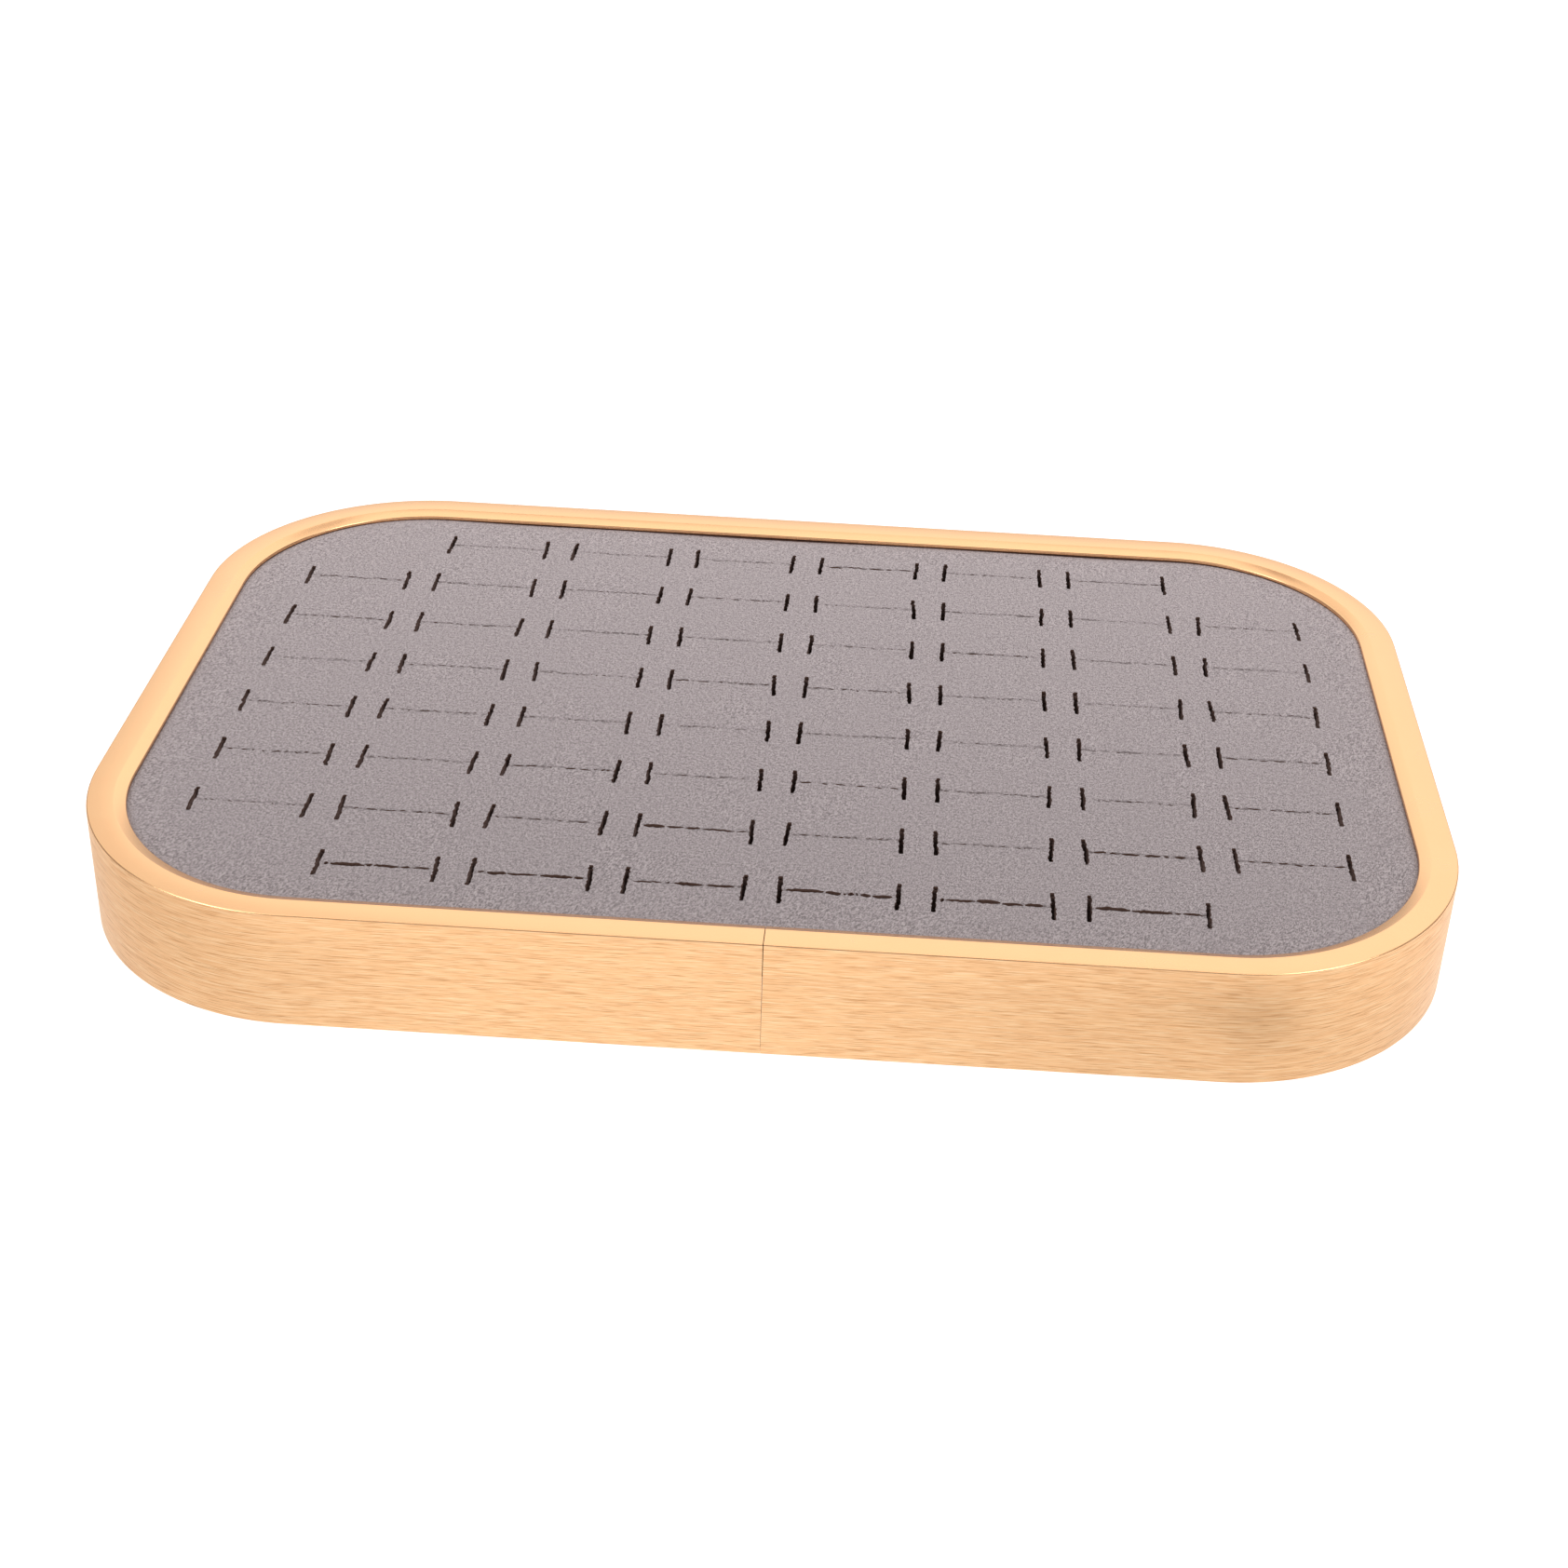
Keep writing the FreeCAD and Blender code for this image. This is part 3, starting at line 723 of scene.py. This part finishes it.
def cut_felt():
    """A flat sheet with rounded corners and slightly softened edges."""
    bpy.ops.mesh.primitive_cube_add(size=1, location=(felt_low + felt_high) / 2)
    felt = bpy.context.object
    felt.scale = felt_high - felt_low
    bpy.ops.object.transform_apply(location=True, rotation=True, scale=True)
    bpy.ops.object.mode_set(mode="EDIT")
    select_where("edges", lambda edge: rise(edge) > 1 * MM)
    bpy.ops.mesh.bevel(offset=FELT_RADIUS, segments=24, affect="EDGES")
    select_where("edges", lambda edge: rise(edge) < SAME_PLACE)
    bpy.ops.mesh.bevel(offset=0.3 * MM, segments=2, affect="EDGES")
    select_where("faces", lambda face: abs(face.normal.z) > 0.999)
    bpy.ops.mesh.inset(thickness=1 * MM)
    bpy.ops.object.mode_set(mode="OBJECT")
    bpy.ops.object.shade_smooth_by_angle(angle=math.radians(40))


def needled_felt():
    """Needled wool felt: matt charcoal, with tangled pale fibres over it."""
    material, tree, shader = new_material("Charcoal needled felt")
    place = add(tree, "TexCoord").outputs["Object"]
    fibre_size = 0.6 * MM
    tangle = {"Vector": place, "Scale": 1 / fibre_size, "Detail": 6.0, "Distortion": 1.5}
    fibres = add(tree, "TexNoise", tangle).outputs[0]
    shade = add(tree, "MapRange", {0: fibres, 1: 0.35, 2: 0.7}).outputs[0]
    colours = {0: shade, 6: linear("#262424"), 7: linear("#504C4C")}
    colour = add(tree, "Mix", colours, data_type="RGBA").outputs[2]
    relief = {"Strength": 0.8, "Distance": 0.2 * MM, "Height": fibres}
    bump = add(tree, "Bump", relief).outputs[0]
    shader.inputs["Roughness"].default_value = 0.95
    shader.inputs["Sheen Weight"].default_value = 0.3
    tree.links.new(colour, shader.inputs["Base Color"])
    tree.links.new(bump, shader.inputs["Normal"])
    return material


cut_felt()
felt_piece = finish_piece("FeltUnderside")
felt_piece.data.materials.append(needled_felt())
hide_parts("felt_underside")

# The floor is plain white card that keeps a soft shadow. The frame mirrors it, with painted shade
# at two places in front of the tray. Seen from below it lets the view through.
FLOOR_SIZE = 6
CARD_LIFT = 0.75
# The floor's level in the frame's reflection, and its patches of painted shade: place, reach, how
# much.
GLOSS_LEVEL = 1.2
DULL_PATCHES = [
    (Vector((-205, -100, 0)) * MM, 150 * MM, 0.2),
    (Vector((115, -150, 0)) * MM, 130 * MM, 0.15),
    (Vector((133, -150, 0)) * MM, 32 * MM, 0.3),
]


def white_floor():
    """White card: its own shade, and a lift for the view and for gloss that makes it white."""
    material, tree, shader = new_material("White floor")
    rays = add(tree, "LightPath")
    seen = {0: rays.outputs["Is Camera Ray"], 1: CARD_LIFT}
    lift = add(tree, "Math", seen, operation="MULTIPLY").outputs[0]
    glow = add(tree, "Emission", {"Strength": lift}).outputs[0]
    card = add(tree, "BsdfDiffuse", {"Color": linear("#CFCFCF")}).outputs[0]
    shaded = add(tree, "AddShader", {0: card, 1: glow}).outputs[0]
    mirrored = {0: rays.outputs["Is Glossy Ray"], 1: rays.outputs["Is Transmission Ray"]}
    in_gloss = add(tree, "Math", mirrored, operation="MAXIMUM").outputs[0]
    place = add(tree, "TexCoord").outputs["Object"]
    level = GLOSS_LEVEL
    for middle, reach, dullness in DULL_PATCHES:
        measured = {0: place, 1: middle}
        apart = add(tree, "VectorMath", measured, operation="DISTANCE").outputs["Value"]
        faded = {0: apart, 1: reach / 5, 2: reach, 3: 1 - dullness, 4: 1.0}
        kept = add(tree, "MapRange", faded, interpolation_type="SMOOTHSTEP").outputs[0]
        level = add(tree, "Math", {0: level, 1: kept}, operation="MULTIPLY").outputs[0]
    in_the_mirror = add(tree, "Emission", {"Strength": level}).outputs[0]
    lit = add(tree, "MixShader", {0: in_gloss, 1: shaded, 2: in_the_mirror}).outputs[0]
    below = add(tree, "NewGeometry").outputs["Backfacing"]
    clear = add(tree, "BsdfTransparent").outputs[0]
    both = add(tree, "MixShader", {0: below, 1: lit, 2: clear}).outputs[0]
    tree.nodes.remove(shader)
    tree.links.new(both, tree.nodes["Material Output"].inputs["Surface"])
    return material


bpy.ops.mesh.primitive_plane_add(size=FLOOR_SIZE, location=(0, 0, -0.1 * MM))
floor = bpy.context.object
floor.name = "Floor"
floor.data.materials.append(white_floor())
bpy.ops.object.select_all(action="DESELECT")

# The light is a white room: bright behind and overhead, dimmer at the horizon and far to the left,
# dark at the sides and above the front. Two brown spots high behind show as smears on the lip, and
# two softboxes, left and right of the camera, draw the bright line on the front corners' edge.
BEHIND = 1.24
BEHIND_LEFT = 0.92
HORIZON = 0.5
OVERHEAD = 1.31
FRONT_LOW = 1.08
DARK = 0.3
DIM_SPOT = Vector((0.14, 0.49, 0.86)).normalized()
DIM_SPOT_COLOUR = "#5E4636"


def light_room():
    """The world: plain white for the view, and a level for each side of it for the light."""
    world = bpy.data.worlds.new("White room")
    bpy.context.scene.world = world
    world.use_nodes = True
    tree = world.node_tree
    background = tree.nodes["Background"]
    direction = add(tree, "TexCoord").outputs["Generated"]
    x, y, z = add(tree, "SeparateXYZ", {0: direction}).outputs
    # The back is dimmer to the left of a line that leans to the right as it rises.
    leaning = add(tree, "Math", {0: z, 1: -0.5, 2: x}, operation="MULTIPLY_ADD").outputs[0]
    leftward = {0: leaning, 1: -0.575, 2: -0.52, 3: BEHIND_LEFT, 4: BEHIND}
    behind = add(tree, "MapRange", leftward).outputs[0]
    # From the horizon up, and then overhead.
    low = add(tree, "MapRange", {0: z, 1: 0.12, 2: 0.4}).outputs[0]
    back = add(tree, "Mix", {0: low, 2: HORIZON, 3: behind}).outputs[0]
    upward = add(tree, "MapRange", {0: z, 1: 0.7, 2: 0.95}).outputs[0]
    above = add(tree, "Mix", {0: upward, 2: back, 3: OVERHEAD}).outputs[0]
    # The sides, and then the front, which is bright only low down.
    size_x = add(tree, "Math", {0: x}, operation="ABSOLUTE").outputs[0]
    sideways = add(tree, "MapRange", {0: size_x, 1: 0.5, 2: 0.7}).outputs[0]
    sided = add(tree, "Mix", {0: sideways, 2: above, 3: DARK}).outputs[0]
    front = add(tree, "MapRange", {0: z, 1: 0.1, 2: 0.4, 3: FRONT_LOW, 4: DARK}).outputs[0]
    forward = add(tree, "MapRange", {0: y, 1: -0.05, 2: -0.45}).outputs[0]
    level = add(tree, "Mix", {0: forward, 2: sided, 3: front}).outputs[0]
    # The brown spots, the same on the left and on the right. The view itself sees plain white.
    folded = add(tree, "CombineXYZ", {0: size_x, 1: y, 2: z}).outputs[0]
    aimed = {0: folded, 1: DIM_SPOT}
    nearness = add(tree, "VectorMath", aimed, operation="DOT_PRODUCT").outputs["Value"]
    dim = add(tree, "MapRange", {0: nearness, 1: 0.9935, 2: 0.998}).outputs[0]
    seen = add(tree, "LightPath").outputs["Is Camera Ray"]
    unseen = add(tree, "Math", {0: 1.0, 1: seen}, operation="SUBTRACT").outputs[0]
    browned = add(tree, "Math", {0: dim, 1: unseen}, operation="MULTIPLY").outputs[0]
    colours = {0: browned, 6: (1, 1, 1, 1), 7: linear(DIM_SPOT_COLOUR)}
    colour = add(tree, "Mix", colours, data_type="RGBA").outputs[2]
    strength = add(tree, "Mix", {0: seen, 2: level, 3: 1.0}).outputs[0]
    tree.links.new(strength, background.inputs["Strength"])
    tree.links.new(colour, background.inputs["Color"])


def hang_softbox(name, place, size, watts):
    """A square softbox that faces the tray."""
    bpy.ops.object.light_add(type="AREA", location=place)
    lamp = bpy.context.object
    lamp.name = name
    lamp.data.size = size
    lamp.data.energy = watts
    lamp.rotation_euler = (-lamp.location).to_track_quat("-Z", "Y").to_euler()


light_room()
hang_softbox("LeftSoftbox", (-1.05, -0.6, 1.1), size=0.8, watts=8)
hang_softbox("RightSoftbox", (1.05, -0.6, 1.1), size=0.8, watts=8)

# The camera stands in front of the tray, a little to the right of its middle, and looks down on
# it with a slight roll. The view is cut a little off its middle, as a cropped picture is.
LENS = 57.17
SENSOR = 36
LOOK_DOWN = math.radians(31.11)
LOOK_TURN = math.radians(1.54)
ROLL = math.radians(2.62)
SHIFT = -0.0344
CAMERA_FROM_ORIGIN = Vector((15.35, 4.69, 703.64)) * MM
turn = Matrix.Rotation(LOOK_TURN, 4, "Z") @ Matrix.Rotation(math.radians(90) - LOOK_DOWN, 4, "X")
turn = turn @ Matrix.Rotation(ROLL, 4, "Z")
bpy.ops.object.camera_add()
camera = bpy.context.object
camera.name = "Camera"
camera.matrix_world = turn @ Matrix.Translation(CAMERA_FROM_ORIGIN)
camera.data.lens = LENS
camera.data.sensor_width = SENSOR
camera.data.shift_x = SHIFT
bpy.context.scene.camera = camera
bpy.context.scene.view_settings.view_transform = "Standard"
